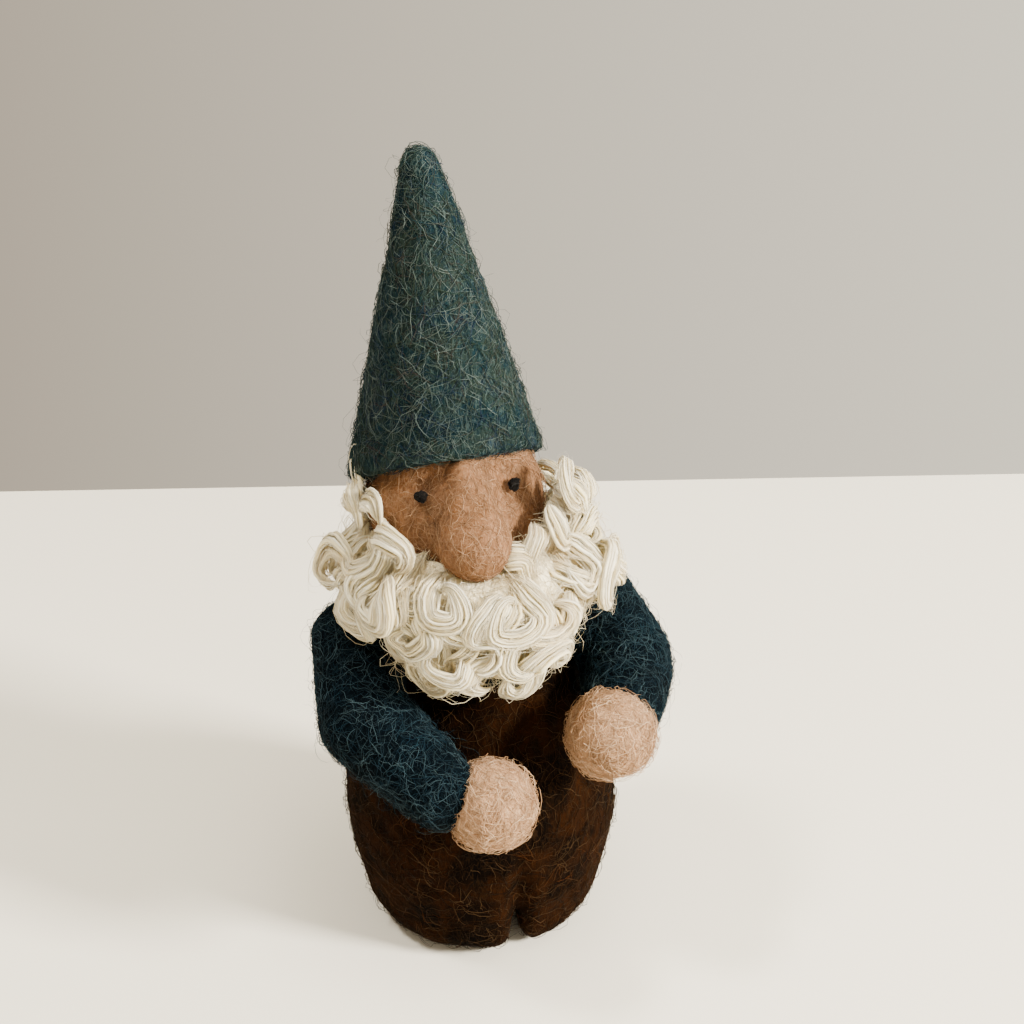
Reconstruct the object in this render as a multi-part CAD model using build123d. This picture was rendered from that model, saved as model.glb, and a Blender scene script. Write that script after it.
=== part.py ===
from build123d import *
import os
from math import asin, cos, radians, sin, sqrt

# Tomte gnome figurine: a small figure needle-felted from wool, as its separate wool parts.
# Millimetres, +Z up, origin on the floor under the middle of the body. The figure faces -Y,
# so its own right arm is on the -X side.

# ---- driving dimensions ----------------------------------------------------------------------
FIGURE_HEIGHT = 170.0        # floor to the tip of the hat

BODY_RADIUS = 28.9           # widest half-width of the trousers
BASE_RADIUS = 26.0           # half-width just above the rounded bottom edge
BASE_ROUNDING = 8.5          # radius of the bottom edge
LEG_HEIGHT = 29.0            # floor to the fork of the legs
LEG_PARTING_X = 2.6          # the cleft sits a little to the figure's left
CLEFT_WIDTH = 4.4            # between the legs, at the floor
LEG_GAP = 0.2                # between the two legs where they press together
TROUSER_TOP = 66.0           # upper edge of the brown wool
NECK_HEIGHT = 80.0           # where the head sits on the body
BODY_PROFILE = ((BASE_RADIUS, BASE_ROUNDING), (BODY_RADIUS, LEG_HEIGHT), (28.0, 40.0), (25.3, 50.0),
                (20.3, 60.0), (16.8, 70.0), (12.5, NECK_HEIGHT))   # (half-width, height)
SKIN = 4.0                   # thickness of the coloured wool over the cream core wool

HEAD_CENTRE = Vector(-3.6, -1.0, 99.0)
HEAD_RADIUS = 17.5
HEAD_HALF_HEIGHT = 20.0
FACE_SKIN = 2.5              # thickness of the skin-coloured wool

EYE_RADIUS = 1.5
EYE_HEIGHT = 108.8
EYE_OFFSETS = {"right_eye": -8.4, "left_eye": 9.1}   # across the face, from the head's centre

NOSE_CENTRE = Vector(-3.3, -20.0, 101.0)
NOSE_BRIDGE = Vector(-3.9, -13.5, 112.5)   # top of the nose, between the eyes
NOSE_RADIUS = 7.0
BRIDGE_RADIUS = 3.2

RIM_CENTRE = Vector(-4.2, 1.5, 107.5)
RIM_RADIUS = 19.2
RIM_TILT_BACK = 29.0         # degrees; the rim is higher in front
RIM_TILT_SIDE = 5.0          # degrees; the rim is lower on the figure's right
HAT_TIP = Vector(-7.0, 3.5, FIGURE_HEIGHT)
HAT_TIP_RADIUS = 3.6
HAT_SKIRT = 14.0             # length of cone below the rim's centre, before the rim is cut
HAT_SKIN = 3.5

BEARD_CENTRE = Vector(-1.0, -3.5, 89.5)
BEARD_RADII = (24.2, 24.2, 10.0)     # half-sizes of the fleece felted round the jaw and the neck
BIB_CENTRE = Vector(-2.0, -18.0, 79.5)
BIB_RADII = (17.0, 9.0, 9.0)         # half-sizes of the fleece that hangs below the chin
CURL_RADIUS = 3.6                    # of a lock's own curl, to the middle of the lock
LOCK_RADIUS = 2.0                    # half-thickness of a lock
CURL_TURN = 285.0                    # degrees of curl in a lock
LOCK_LIFT = 2.3                      # a lock's middle stands this far off the fleece under it
RING_LOCKS = 14                      # round the jaw and the back of the neck
HAIR_FROM = 100.0                    # degrees round from the front where beard turns to hair
BIB_LOCK_ANGLES = (-80, -37, 0, 37, 80)    # degrees round the bib
TEMPLE_RISE = 8.0                    # the temple locks' ring above the beard's middle
TEMPLE_RADII = (25.6, 23.6, 14.0)
TEMPLE_LOCK_ANGLES = (44, 73, 101)         # degrees round from the front, on each side

SLEEVE_SKIN = 3.0
RIGHT_ARM = {"shoulder": (Vector(-25.5, -1.0, 71.0), 8.0), "elbow": (Vector(-25.8, -18.4, 62.5), 9.1),
             "wrist": (Vector(-14.0, -33.0, 55.0), 7.5), "hand": (Vector(-4.7, -36.0, 52.0), 8.6)}
LEFT_ARM = {"shoulder": (Vector(26.0, 0.0, 71.0), 8.0), "elbow": (Vector(29.6, -10.0, 62.0), 9.3),
            "wrist": (Vector(25.5, -21.5, 61.0), 8.2), "hand": (Vector(20.7, -30.0, 60.0), 8.6)}


# ---- helpers ---------------------------------------------------------------------------------
def spheroid(centre, radii):
    """Ellipsoid whose half-sizes along Y and one other direction are equal, turned as one solid."""
    rx, ry, rz = radii
    across, along, axis = (rx, rz, Vector(0, 0, 1)) if rx == ry else (ry, rx, Vector(1, 0, 0))
    rim = EllipticalCenterArc((0, 0), across, along, start_angle=-90, arc_size=180)
    half = make_face([rim, Line(rim @ 1, rim @ 0)])
    return Plane(origin=centre, z_dir=axis) * revolve(Plane.XZ * half, Axis.Z)


def tapered_capsule(start, start_radius, end, end_radius):
    """Two balls and the cone that touches both, as one turned solid."""
    length = (end - start).length
    lean = (start_radius - end_radius) / length
    flank = sqrt(1 - lean * lean)

    def on_ball(height, radius, sine, cosine):
        return (radius * cosine, height + radius * sine)

    low_join = on_ball(0, start_radius, lean, flank)
    high_join = on_ball(length, end_radius, lean, flank)
    low_angle = (asin(lean) - radians(90)) / 2
    high_angle = (asin(lean) + radians(90)) / 2
    low_mid = on_ball(0, start_radius, sin(low_angle), cos(low_angle))
    high_mid = on_ball(length, end_radius, sin(high_angle), cos(high_angle))
    outline = [
        ThreePointArc((0, -start_radius), low_mid, low_join),
        Line(low_join, high_join),
        ThreePointArc(high_join, high_mid, (0, length + end_radius)),
        Line((0, length + end_radius), (0, -start_radius)),
    ]
    solid = revolve(Plane.XZ * make_face(outline), Axis.Z)
    return Plane(origin=start, z_dir=end - start) * solid


# ---- the forms that the wool is felted to -------------------------------------------------------
def body_form(inset):
    """Body from the floor to the neck, with its surface moved inwards by inset."""
    points = [(radius - inset, height) for radius, height in BODY_PROFILE]
    points[0] = (points[0][0], points[0][1] + inset * 0.5)
    flank = Spline(*points)
    bottom_height = inset
    corner = RadiusArc((points[0][0] - (points[0][1] - bottom_height), bottom_height), points[0],
                       -(points[0][1] - bottom_height))
    outline = [Line((0, bottom_height), corner @ 0), corner, flank,
               Line(flank @ 1, (0, NECK_HEIGHT)), Line((0, NECK_HEIGHT), (0, bottom_height))]
    return revolve(Plane.XZ * make_face(outline), Axis.Z)


def slab(low, high):
    """Wide block between two heights, for cutting the body across."""
    size = 4 * BODY_RADIUS
    return Pos(0, 0, (low + high) / 2) * Box(size, size, high - low)


def leg_block(side, inset):
    """Everything on one side of the cleft, up to the fork; side is -1 right, 1 left."""
    reach = 2 * BODY_RADIUS
    wall = LEG_GAP / 2 + inset
    block = Box(reach, 2 * reach, LEG_HEIGHT, align=(Align.MIN, Align.CENTER, Align.MIN))
    flare = ThreePointArc((wall, LEG_HEIGHT), (wall + CLEFT_WIDTH * 0.15, LEG_HEIGHT * 0.45),
                          (wall + CLEFT_WIDTH / 2, 0))
    under = make_face([flare, Line(flare @ 1, (-1, 0)), Line((-1, 0), (-1, LEG_HEIGHT)),
                       Line((-1, LEG_HEIGHT), flare @ 0)])
    block -= extrude(Plane.XZ * under, amount=reach, both=True)
    block -= Box(2 * wall, 2 * reach, 2 * LEG_HEIGHT)
    if side < 0:
        block = mirror(block, about=Plane.YZ)
    return Pos(LEG_PARTING_X, 0, 0) * block


def leg_form(side, inset):
    """One stubby leg, from the floor to the fork."""
    return body_form(inset) & leg_block(side, inset) & slab(0, LEG_HEIGHT)


def head_form(inset):
    """Ball of the head, cut flat where it sits on the neck."""
    radius = HEAD_RADIUS - inset
    ball = spheroid(HEAD_CENTRE, (radius, radius, HEAD_HALF_HEIGHT - inset))
    return split(ball, bisect_by=Plane.XY.offset(NECK_HEIGHT), keep=Keep.TOP)


def hat_form(inset):
    """Tall cone of the hat with its slanted rim, filled where the head goes."""
    axis = HAT_TIP - RIM_CENTRE
    height = axis.length
    slope = (RIM_RADIUS - HAT_TIP_RADIUS) / (height - HAT_TIP_RADIUS)
    skirt_radius = RIM_RADIUS + slope * HAT_SKIRT * 0.15 - inset
    rim_radius = RIM_RADIUS - inset
    tip_radius = max(HAT_TIP_RADIUS - inset, 0.8)
    top = height - inset * 1.6
    flank = Spline((rim_radius, 0), (rim_radius - slope * height * 0.46, height * 0.45),
                   (tip_radius, top - tip_radius))
    tip = ThreePointArc((tip_radius, top - tip_radius), (tip_radius * cos(radians(45)),
                        top - tip_radius * (1 - sin(radians(45)))), (0, top))
    outline = [Line((0, -HAT_SKIRT), (skirt_radius, -HAT_SKIRT)),
               Line((skirt_radius, -HAT_SKIRT), (rim_radius, 0)), flank, tip,
               Line((0, top), (0, -HAT_SKIRT))]
    cone = revolve(Plane.XZ * make_face(outline), Axis.Z)
    cone = Plane(origin=RIM_CENTRE, z_dir=axis) * cone
    rim_normal = Vector(0, 0, 1).rotate(Axis.X, -RIM_TILT_BACK).rotate(Axis.Y, -RIM_TILT_SIDE)
    return split(cone, bisect_by=Plane(origin=RIM_CENTRE, z_dir=rim_normal), keep=Keep.TOP)


def nose_form():
    """Pear-shaped nose: a ball that narrows upwards to the bridge."""
    return tapered_capsule(NOSE_CENTRE, NOSE_RADIUS, NOSE_BRIDGE, BRIDGE_RADIUS)


def arm_form(arm, inset):
    """Sausage-shaped sleeve, bent at the elbow."""
    (shoulder, shoulder_radius) = arm["shoulder"]
    (elbow, elbow_radius) = arm["elbow"]
    (wrist, wrist_radius) = arm["wrist"]
    upper = tapered_capsule(shoulder, shoulder_radius - inset, elbow, elbow_radius - inset)
    fore = tapered_capsule(elbow, elbow_radius - inset, wrist, wrist_radius - inset)
    return upper + fore


def curl_lock(centre, radii, around, up, spin):
    """One curled lock lying on an ellipsoid; around is degrees from the front, up from level."""
    out = Vector(sin(radians(around)) * cos(radians(up)), -cos(radians(around)) * cos(radians(up)),
                 sin(radians(up)))
    place = centre + Vector(*(part * (radius + LOCK_LIFT) for part, radius in zip(out, radii)))
    facing = Vector(*(part / (radius + LOCK_LIFT) for part, radius in zip(out, radii)))
    section = Plane.XZ * Pos(CURL_RADIUS, 0) * Circle(LOCK_RADIUS)
    curl = revolve(section, Axis.Z, CURL_TURN)
    return Plane(origin=place, z_dir=facing) * Rot(0, 0, spin) * curl


# ---- the separate pieces ------------------------------------------------------------------------
def body_pieces():
    """Core wool of the body and legs, with the brown and dark wool over it."""
    pieces = {}
    upper = slab(LEG_HEIGHT, NECK_HEIGHT)
    outer = body_form(0) & upper
    core = body_form(SKIN) & upper
    shell = outer - core
    pieces["torso_core"] = core
    pieces["trouser_body"] = shell & slab(LEG_HEIGHT, TROUSER_TOP)
    pieces["jumper_yoke"] = shell & slab(TROUSER_TOP, NECK_HEIGHT)
    for name, side in (("right", -1), ("left", 1)):
        leg_core = leg_form(side, SKIN)
        pieces[f"{name}_leg_core"] = leg_core
        pieces[f"{name}_trouser_leg"] = leg_form(side, 0) - leg_core
    return pieces


def head_pieces():
    """Head, face, eyes, nose and hat."""
    head = head_form(0)
    head_core = head_form(FACE_SKIN)
    hat = hat_form(0) - head
    hat_core = hat_form(HAT_SKIN) - head
    pieces = {"head_core": head_core, "face": head - head_core,
              "nose": nose_form() - head - hat_form(0), "hat": hat - hat_core, "hat_core": hat_core}
    for name, across in EYE_OFFSETS.items():
        rise = EYE_HEIGHT - HEAD_CENTRE.Z
        level_radius = HEAD_RADIUS * sqrt(1 - (rise / HEAD_HALF_HEIGHT) ** 2)
        forward = sqrt(level_radius ** 2 - across ** 2)
        place = HEAD_CENTRE + Vector(across, -forward, rise)
        pieces[name] = Pos(*place) * Sphere(EYE_RADIUS) - head
    return pieces


def beard_pieces():
    """Fleece felted round the jaw, fleece hanging below the chin, and the curled locks on both."""
    head = head_form(0)
    body = body_form(0)
    mat = spheroid(BEARD_CENTRE, BEARD_RADII) - head - body - hat_form(0) - nose_form()
    bib = spheroid(BIB_CENTRE, BIB_RADII) - spheroid(BEARD_CENTRE, BEARD_RADII) - body - head
    pieces = {"beard_mat": mat, "beard_bib": bib}
    seats = []
    for step in range(RING_LOCKS):
        around = (step + 0.5) * 360 / RING_LOCKS
        side = "beard" if min(around, 360 - around) < HAIR_FROM else "hair"
        seats.append((side, BEARD_CENTRE, BEARD_RADII, around, 0, 70 * step))
    for step, around in enumerate(BIB_LOCK_ANGLES):
        seats.append(("beard", BIB_CENTRE, BIB_RADII, around, -8, 50 * step))
    temple_centre = BEARD_CENTRE + Vector(0, 0, TEMPLE_RISE)
    for side in (-1, 1):
        for step, around in enumerate(TEMPLE_LOCK_ANGLES):
            seats.append(("temple", temple_centre, TEMPLE_RADII, side * around, 20, 110 * step))
    for number, (side, centre, radii, around, up, spin) in enumerate(seats, start=1):
        pieces[f"{side}_lock_{number:02d}"] = curl_lock(centre, radii, around, up, spin)
    return pieces


def arm_pieces(name, arm):
    """One arm: core wool, sleeve wool and the ball of the hand."""
    outer = arm_form(arm, 0)
    core = arm_form(arm, SLEEVE_SKIN)
    (hand_centre, hand_radius) = arm["hand"]
    hand = Pos(*hand_centre) * Sphere(hand_radius) - outer
    return {f"{name}_arm_core": core, f"{name}_sleeve": outer - core, f"{name}_hand": hand}


def main():
    """Build every piece and write one STEP file for each."""
    os.makedirs("parts", exist_ok=True)
    pieces = body_pieces() | head_pieces() | beard_pieces()
    pieces |= arm_pieces("right", RIGHT_ARM) | arm_pieces("left", LEFT_ARM)
    for name, shape in pieces.items():
        export_step(shape, f"parts/{name}.step")
        print(f"{name}: {shape.volume:.0f} mm3")


if __name__ == "__main__":
    main()
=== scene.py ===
import logging
import math
from dataclasses import dataclass, field
from enum import Enum

import bmesh
import bpy
import numpy as np
from mathutils import Matrix, Vector, noise


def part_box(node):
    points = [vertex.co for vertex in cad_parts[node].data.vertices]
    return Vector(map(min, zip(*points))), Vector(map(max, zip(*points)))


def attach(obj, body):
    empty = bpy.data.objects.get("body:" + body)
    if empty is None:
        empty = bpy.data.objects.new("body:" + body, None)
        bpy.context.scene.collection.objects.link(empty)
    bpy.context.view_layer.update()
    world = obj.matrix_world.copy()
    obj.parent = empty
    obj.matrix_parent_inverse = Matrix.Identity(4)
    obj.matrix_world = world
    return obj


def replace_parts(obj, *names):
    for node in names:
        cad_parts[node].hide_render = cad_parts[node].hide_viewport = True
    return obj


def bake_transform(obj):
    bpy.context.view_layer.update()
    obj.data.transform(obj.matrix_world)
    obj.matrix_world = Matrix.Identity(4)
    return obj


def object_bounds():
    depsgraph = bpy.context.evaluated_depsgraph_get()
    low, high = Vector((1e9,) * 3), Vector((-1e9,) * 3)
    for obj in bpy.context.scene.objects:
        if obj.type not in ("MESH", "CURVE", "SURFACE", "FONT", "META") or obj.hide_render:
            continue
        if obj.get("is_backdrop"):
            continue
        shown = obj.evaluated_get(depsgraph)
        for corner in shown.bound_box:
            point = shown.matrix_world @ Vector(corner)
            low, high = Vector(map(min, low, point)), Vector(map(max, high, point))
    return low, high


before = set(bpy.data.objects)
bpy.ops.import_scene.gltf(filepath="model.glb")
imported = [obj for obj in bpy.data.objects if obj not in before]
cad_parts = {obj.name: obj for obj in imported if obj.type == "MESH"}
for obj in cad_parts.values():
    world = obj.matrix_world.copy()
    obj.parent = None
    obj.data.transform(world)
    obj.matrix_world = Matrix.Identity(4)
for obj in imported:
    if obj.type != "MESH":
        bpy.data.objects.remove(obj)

LOG = logging.getLogger("gnome")
MM = 0.001
FLOOR_GAP = 0.05 * MM
Colour = tuple[float, float, float]


# ---- node wiring --------------------------------------------------------------------------------
class Graph:
    """A node tree that is being wired."""

    def __init__(self, tree: bpy.types.NodeTree) -> None:
        """Start with an empty tree.

        Args:
            tree: the shader or geometry node tree to fill.
        """
        self.tree = tree
        tree.nodes.clear()

    def node(self, kind: str, inputs: dict | None = None, **settings: object) -> bpy.types.Node:
        """Add a node.

        Args:
            kind: the node's type name.
            inputs: socket name or index to a value or to the socket that feeds it.
            settings: properties of the node itself.

        Returns:
            The new node.
        """
        node = self.tree.nodes.new(kind)
        for key, value in settings.items():
            setattr(node, key, value)
        for key, value in (inputs or {}).items():
            if isinstance(value, bpy.types.NodeSocket):
                self.tree.links.new(value, node.inputs[key])
            else:
                node.inputs[key].default_value = value
        return node

    def math(self, operation: str, *values: object) -> bpy.types.NodeSocket:
        """A number worked out from one, two or three others.

        Args:
            operation: the Math node's operation.
            values: numbers or sockets.

        Returns:
            The result's socket.
        """
        kind = "ShaderNodeMath"
        return self.node(kind, dict(enumerate(values)), operation=operation).outputs[0]

    def vector(self, operation: str, first: object, second: object) -> bpy.types.NodeSocket:
        """A vector worked out from two others, or from one and a number for SCALE.

        Args:
            operation: the Vector Math node's operation.
            first: a vector or its socket.
            second: a vector, or the number to scale by.

        Returns:
            The result's socket.
        """
        slot = "Scale" if operation == "SCALE" else 1
        inputs = {0: first, slot: second}
        return self.node("ShaderNodeVectorMath", inputs, operation=operation).outputs[0]

    def random(self, low: float, high: float, seed: int, of: object = None) -> bpy.types.NodeSocket:
        """A random number between two values.

        Args:
            low: the least value.
            high: the greatest value.
            seed: picks one of many random series.
            of: socket of the number that each draw belongs to; the element's own index if None.

        Returns:
            The number's socket.
        """
        inputs = {2: low, 3: high, "Seed": seed}
        if of is not None:
            inputs["ID"] = of
        return self.node("FunctionNodeRandomValue", inputs, data_type="FLOAT").outputs[1]

    def random_vector(self, reach: float, seed: int) -> bpy.types.NodeSocket:
        """A random vector for each point.

        Args:
            reach: the most that each part differs from zero.
            seed: picks one of many random series.

        Returns:
            The vector's socket.
        """
        inputs = {0: (-reach,) * 3, 1: (reach,) * 3, "Seed": seed}
        return self.node("FunctionNodeRandomValue", inputs, data_type="FLOAT_VECTOR").outputs[0]

    def store(self, geometry: bpy.types.NodeSocket, name: str, value: object) -> bpy.types.NodeSocket:
        """Keep a number on every point under a name.

        Args:
            geometry: socket of the curves or mesh.
            name: the attribute's name.
            value: the number's socket.

        Returns:
            Socket of the geometry with the attribute.
        """
        inputs = {"Geometry": geometry, "Name": name, "Value": value}
        node = self.node("GeometryNodeStoreNamedAttribute", inputs, data_type="FLOAT", domain="POINT")
        return node.outputs[0]


def new_geometry_tree(name: str, sockets: dict[str, str]) -> bpy.types.NodeTree:
    """An empty geometry tree with named inputs.

    Args:
        name: the tree's name.
        sockets: input name to socket type.

    Returns:
        The tree.
    """
    tree = bpy.data.node_groups.new(name, "GeometryNodeTree")
    tree.interface.new_socket("Geometry", in_out="INPUT", socket_type="NodeSocketGeometry")
    for socket, kind in sockets.items():
        tree.interface.new_socket(socket, in_out="INPUT", socket_type=kind)
    tree.interface.new_socket("Geometry", in_out="OUTPUT", socket_type="NodeSocketGeometry")
    return tree


def tube_ends(graph: Graph, curves: bpy.types.NodeSocket, scale: bpy.types.NodeSocket,
              thickness: object, sides: int) -> bpy.types.NodeSocket:
    """Closed tubes along curves, which keep each side's direction from the middle as "rim".

    Args:
        graph: the tree being wired.
        curves: socket of the curves.
        scale: socket of the relative thickness along a curve.
        thickness: the tube's radius, in metres, or its socket.
        sides: faces round the tube.

    Returns:
        Socket of the tubes' mesh.
    """
    circle = graph.node("GeometryNodeCurvePrimitiveCircle", {"Resolution": sides, "Radius": thickness})
    place = graph.node("GeometryNodeInputPosition").outputs[0]
    rim = graph.vector("NORMALIZE", place, (0, 0, 0))
    profile = graph.node("GeometryNodeStoreNamedAttribute",
                         {"Geometry": circle.outputs[0], "Name": "rim", "Value": rim},
                         data_type="FLOAT_VECTOR", domain="POINT")
    inputs = {"Curve": curves, "Profile Curve": profile.outputs[0], "Fill Caps": True}
    tube = graph.node("GeometryNodeCurveToMesh", inputs)
    if "Scale" in tube.inputs:
        graph.tree.links.new(scale, tube.inputs["Scale"])
    else:
        radius = graph.node("GeometryNodeSetCurveRadius", {"Curve": curves, "Radius": scale})
        graph.tree.links.new(radius.outputs[0], tube.inputs["Curve"])
    return tube.outputs[0]


def wool_coat_tree() -> bpy.types.NodeTree:
    """Wandering wool fibres that lie on a surface and arch out of it.

    Returns:
        The geometry tree.
    """
    number = "NodeSocketFloat"
    tree = new_geometry_tree("wool_coat", {
        "Density": number, "Length": number, "Wander": number, "Kink": number, "Lift": number,
        "Looseness": number, "Thickness": number, "Patches": number, "Swirls": number, "Seed": "NodeSocketInt",
        "Points": "NodeSocketInt", "Material": "NodeSocketMaterial"})
    graph = Graph(tree)
    given = graph.node("NodeGroupInput").outputs
    spread_inputs = {"Mesh": given["Geometry"], "Density": given["Density"], "Seed": given["Seed"]}
    spread = graph.node("GeometryNodeDistributePointsOnFaces", spread_inputs,
                        distribute_method="RANDOM")
    line = graph.node("GeometryNodeCurvePrimitiveLine", {"Start": (-0.5, 0, 0), "End": (0.5, 0, 0)})
    fine = graph.node("GeometryNodeResampleCurve", {"Curve": line.outputs[0], "Count": given["Points"]})
    angle = graph.random(0, math.tau, 3)
    spin = graph.node("FunctionNodeAxisAngleToRotation", {"Axis": (0, 0, 1), "Angle": angle})
    turn = graph.node("FunctionNodeRotateRotation",
                      {0: spread.outputs["Rotation"], 1: spin.outputs[0]}, rotation_space="LOCAL")
    length = graph.math("MULTIPLY", given["Length"], graph.random(0.55, 1.35, 4))
    placed = graph.node("GeometryNodeInstanceOnPoints", {
        "Points": spread.outputs["Points"], "Instance": fine.outputs[0],
        "Rotation": turn.outputs[0], "Scale": length})
    fibres = graph.node("GeometryNodeRealizeInstances", {"Geometry": placed.outputs[0]}).outputs[0]

    along = graph.node("GeometryNodeSplineParameter").outputs["Factor"]
    fibre = graph.node("GeometryNodeCurveOfPoint").outputs["Curve Index"]
    place = graph.node("GeometryNodeInputPosition").outputs[0]
    shift = graph.math("MULTIPLY", graph.random(0, 1, 5, fibre), 0.02)
    looked_up = graph.vector("ADD", place, shift)
    swirl = graph.node("ShaderNodeTexNoise", {"Vector": looked_up, "Scale": given["Swirls"], "Detail": 1.0})
    swirl = graph.vector("SUBTRACT", swirl.outputs["Color"], (0.5, 0.5, 0.5))
    swirl = graph.vector("SCALE", swirl, given["Wander"])
    kink = graph.vector("SCALE", graph.random_vector(1.0, 6), given["Kink"])
    free = graph.vector("ADD", graph.vector("ADD", place, swirl), kink)

    near = graph.node("GeometryNodeProximity", {0: given["Geometry"], "Sample Position": free},
                      target_element="FACES").outputs["Position"]
    normal = graph.node("GeometryNodeInputNormal").outputs[0]
    outward = graph.node("GeometryNodeSampleNearestSurface", {
        "Mesh": given["Geometry"], "Value": normal, "Sample Position": free},
        data_type="FLOAT_VECTOR").outputs[0]
    swing = graph.math("MULTIPLY_ADD", along, graph.random(3.0, 9.0, 7, fibre),
                       graph.random(0, math.tau, 8, fibre))
    arch = graph.math("MULTIPLY_ADD", graph.math("SINE", swing), 0.5, 0.35)
    reach = graph.math("POWER", graph.random(0, 1, 9, fibre), 2.0)
    height = graph.math("MULTIPLY", graph.math("MULTIPLY", arch, given["Lift"]), reach)
    height = graph.math("ADD", height, given["Thickness"])
    raised = graph.vector("SCALE", outward, height)
    lying = graph.vector("ADD", near, raised)
    flying = graph.vector("ADD", free, raised)
    loose = graph.math("MULTIPLY", given["Looseness"], graph.random(0, 1, 10, fibre))
    mixed = graph.node("ShaderNodeMix", {0: loose, 4: lying, 5: flying}, data_type="VECTOR")
    shaped = graph.node("GeometryNodeSetPosition", {"Geometry": fibres, "Position": mixed.outputs[1]})

    patch = graph.node("ShaderNodeTexNoise", {"Vector": place, "Scale": given["Patches"], "Detail": 2.0})
    tint = graph.math("MULTIPLY_ADD", graph.random(0, 1, 11, fibre), 0.6, -0.5)
    tint = graph.math("ADD", tint, graph.math("MULTIPLY", patch.outputs[0], 1.4))
    tinted = graph.store(shaped.outputs[0], "tint", tint)
    tinted = graph.store(tinted, "pale", graph.math("POWER", graph.random(0, 1, 13, fibre), 3.0))
    centred = graph.math("MULTIPLY_ADD", along, 2.0, -1.0)
    taper = graph.math("SUBTRACT", 1.0, graph.math("MULTIPLY", graph.math("POWER", centred, 6.0), 0.8))
    taper = graph.math("MULTIPLY", taper, graph.random(0.7, 1.3, 12, fibre))
    tubes = tube_ends(graph, tinted, taper, given["Thickness"], 3)
    solid = graph.node("GeometryNodeRealizeInstances", {"Geometry": tubes}).outputs[0]
    dressed = graph.node("GeometryNodeSetMaterial", {"Geometry": solid, "Material": given["Material"]})
    graph.node("NodeGroupOutput", {0: dressed.outputs[0]})
    return tree


def fanned_copies(graph: Graph, amount: object, seed: int, closeness: float,
                  strayness: float) -> tuple[bpy.types.NodeSocket, bpy.types.NodeSocket]:
    """Copies of each guide, fanned out over a lock's flat oval section and drawn in to its tip.

    Args:
        graph: the tree being wired.
        amount: copies of each guide.
        seed: picks the random series.
        closeness: the least share of the section's half width that a copy keeps to.
        strayness: share of the lock's stray that the copies take.

    Returns:
        Sockets of the copies and of the lock's relative thickness along them.
    """
    given = graph.node("NodeGroupInput").outputs
    along = graph.node("GeometryNodeSplineParameter").outputs["Factor"]
    size = graph.node("GeometryNodeInputRadius").outputs[0]
    rise = graph.math("POWER", graph.math("MINIMUM", graph.math("MULTIPLY", along, 5.0), 1.0), 0.5)
    fall = graph.math("SUBTRACT", 1.0, graph.math("POWER", along, 3.0))
    fall = graph.math("MULTIPLY_ADD", graph.math("POWER", fall, 0.8), 0.95, 0.05)
    swell = graph.math("MULTIPLY", graph.math("MULTIPLY", rise, fall), size)

    copies = graph.node("GeometryNodeDuplicateElements",
                        {"Geometry": given["Geometry"], "Amount": amount}, domain="SPLINE")
    strand = graph.node("GeometryNodeCurveOfPoint").outputs["Curve Index"]
    bearing = graph.math("MULTIPLY_ADD", along, given["Twist"], graph.random(0, math.tau, seed, strand))
    off = graph.math("MULTIPLY", swell, graph.math("SQRT", graph.random(closeness, 1.0, seed + 1, strand)))
    place = graph.node("GeometryNodeInputPosition").outputs[0]
    tangent = graph.node("GeometryNodeInputTangent").outputs[0]
    out = graph.vector("NORMALIZE", graph.vector("SUBTRACT", place, given["Middle"]), (0, 0, 0))
    beside = graph.vector("NORMALIZE", graph.vector("CROSS_PRODUCT", tangent, out), (0, 0, 0))
    wide = graph.math("MULTIPLY", given["Width"], graph.math("COSINE", bearing))
    deep = graph.math("MULTIPLY", given["Depth"], graph.math("SINE", bearing))
    one = graph.vector("SCALE", beside, graph.math("MULTIPLY", off, wide))
    two = graph.vector("SCALE", out, graph.math("MULTIPLY", off, deep))
    shift = graph.math("MULTIPLY", graph.random(0, 1, seed + 2, strand), 0.05)
    swirl = graph.node("ShaderNodeTexNoise",
                       {"Vector": graph.vector("ADD", place, shift), "Scale": 135.0, "Detail": 0.0})
    swirl = graph.vector("SUBTRACT", swirl.outputs["Color"], (0.5, 0.5, 0.5))
    wildness = graph.math("POWER", graph.random(0.0, 1.0, seed + 3, strand), 5.0)
    wildness = graph.math("MULTIPLY_ADD", wildness, 3.4, 0.3)
    wildness = graph.math("MULTIPLY", graph.math("MULTIPLY", given["Stray"], strayness), wildness)
    moved = graph.vector("ADD", graph.vector("ADD", one, two), graph.vector("SCALE", swirl, wildness))
    fanned = graph.node("GeometryNodeSetPosition",
                        {"Geometry": copies.outputs[0], "Offset": moved}).outputs[0]
    fanned = graph.store(fanned, "tint", graph.random(0, 1, seed + 4, strand))
    fanned = graph.store(fanned, "along", along)
    return fanned, swell


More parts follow.
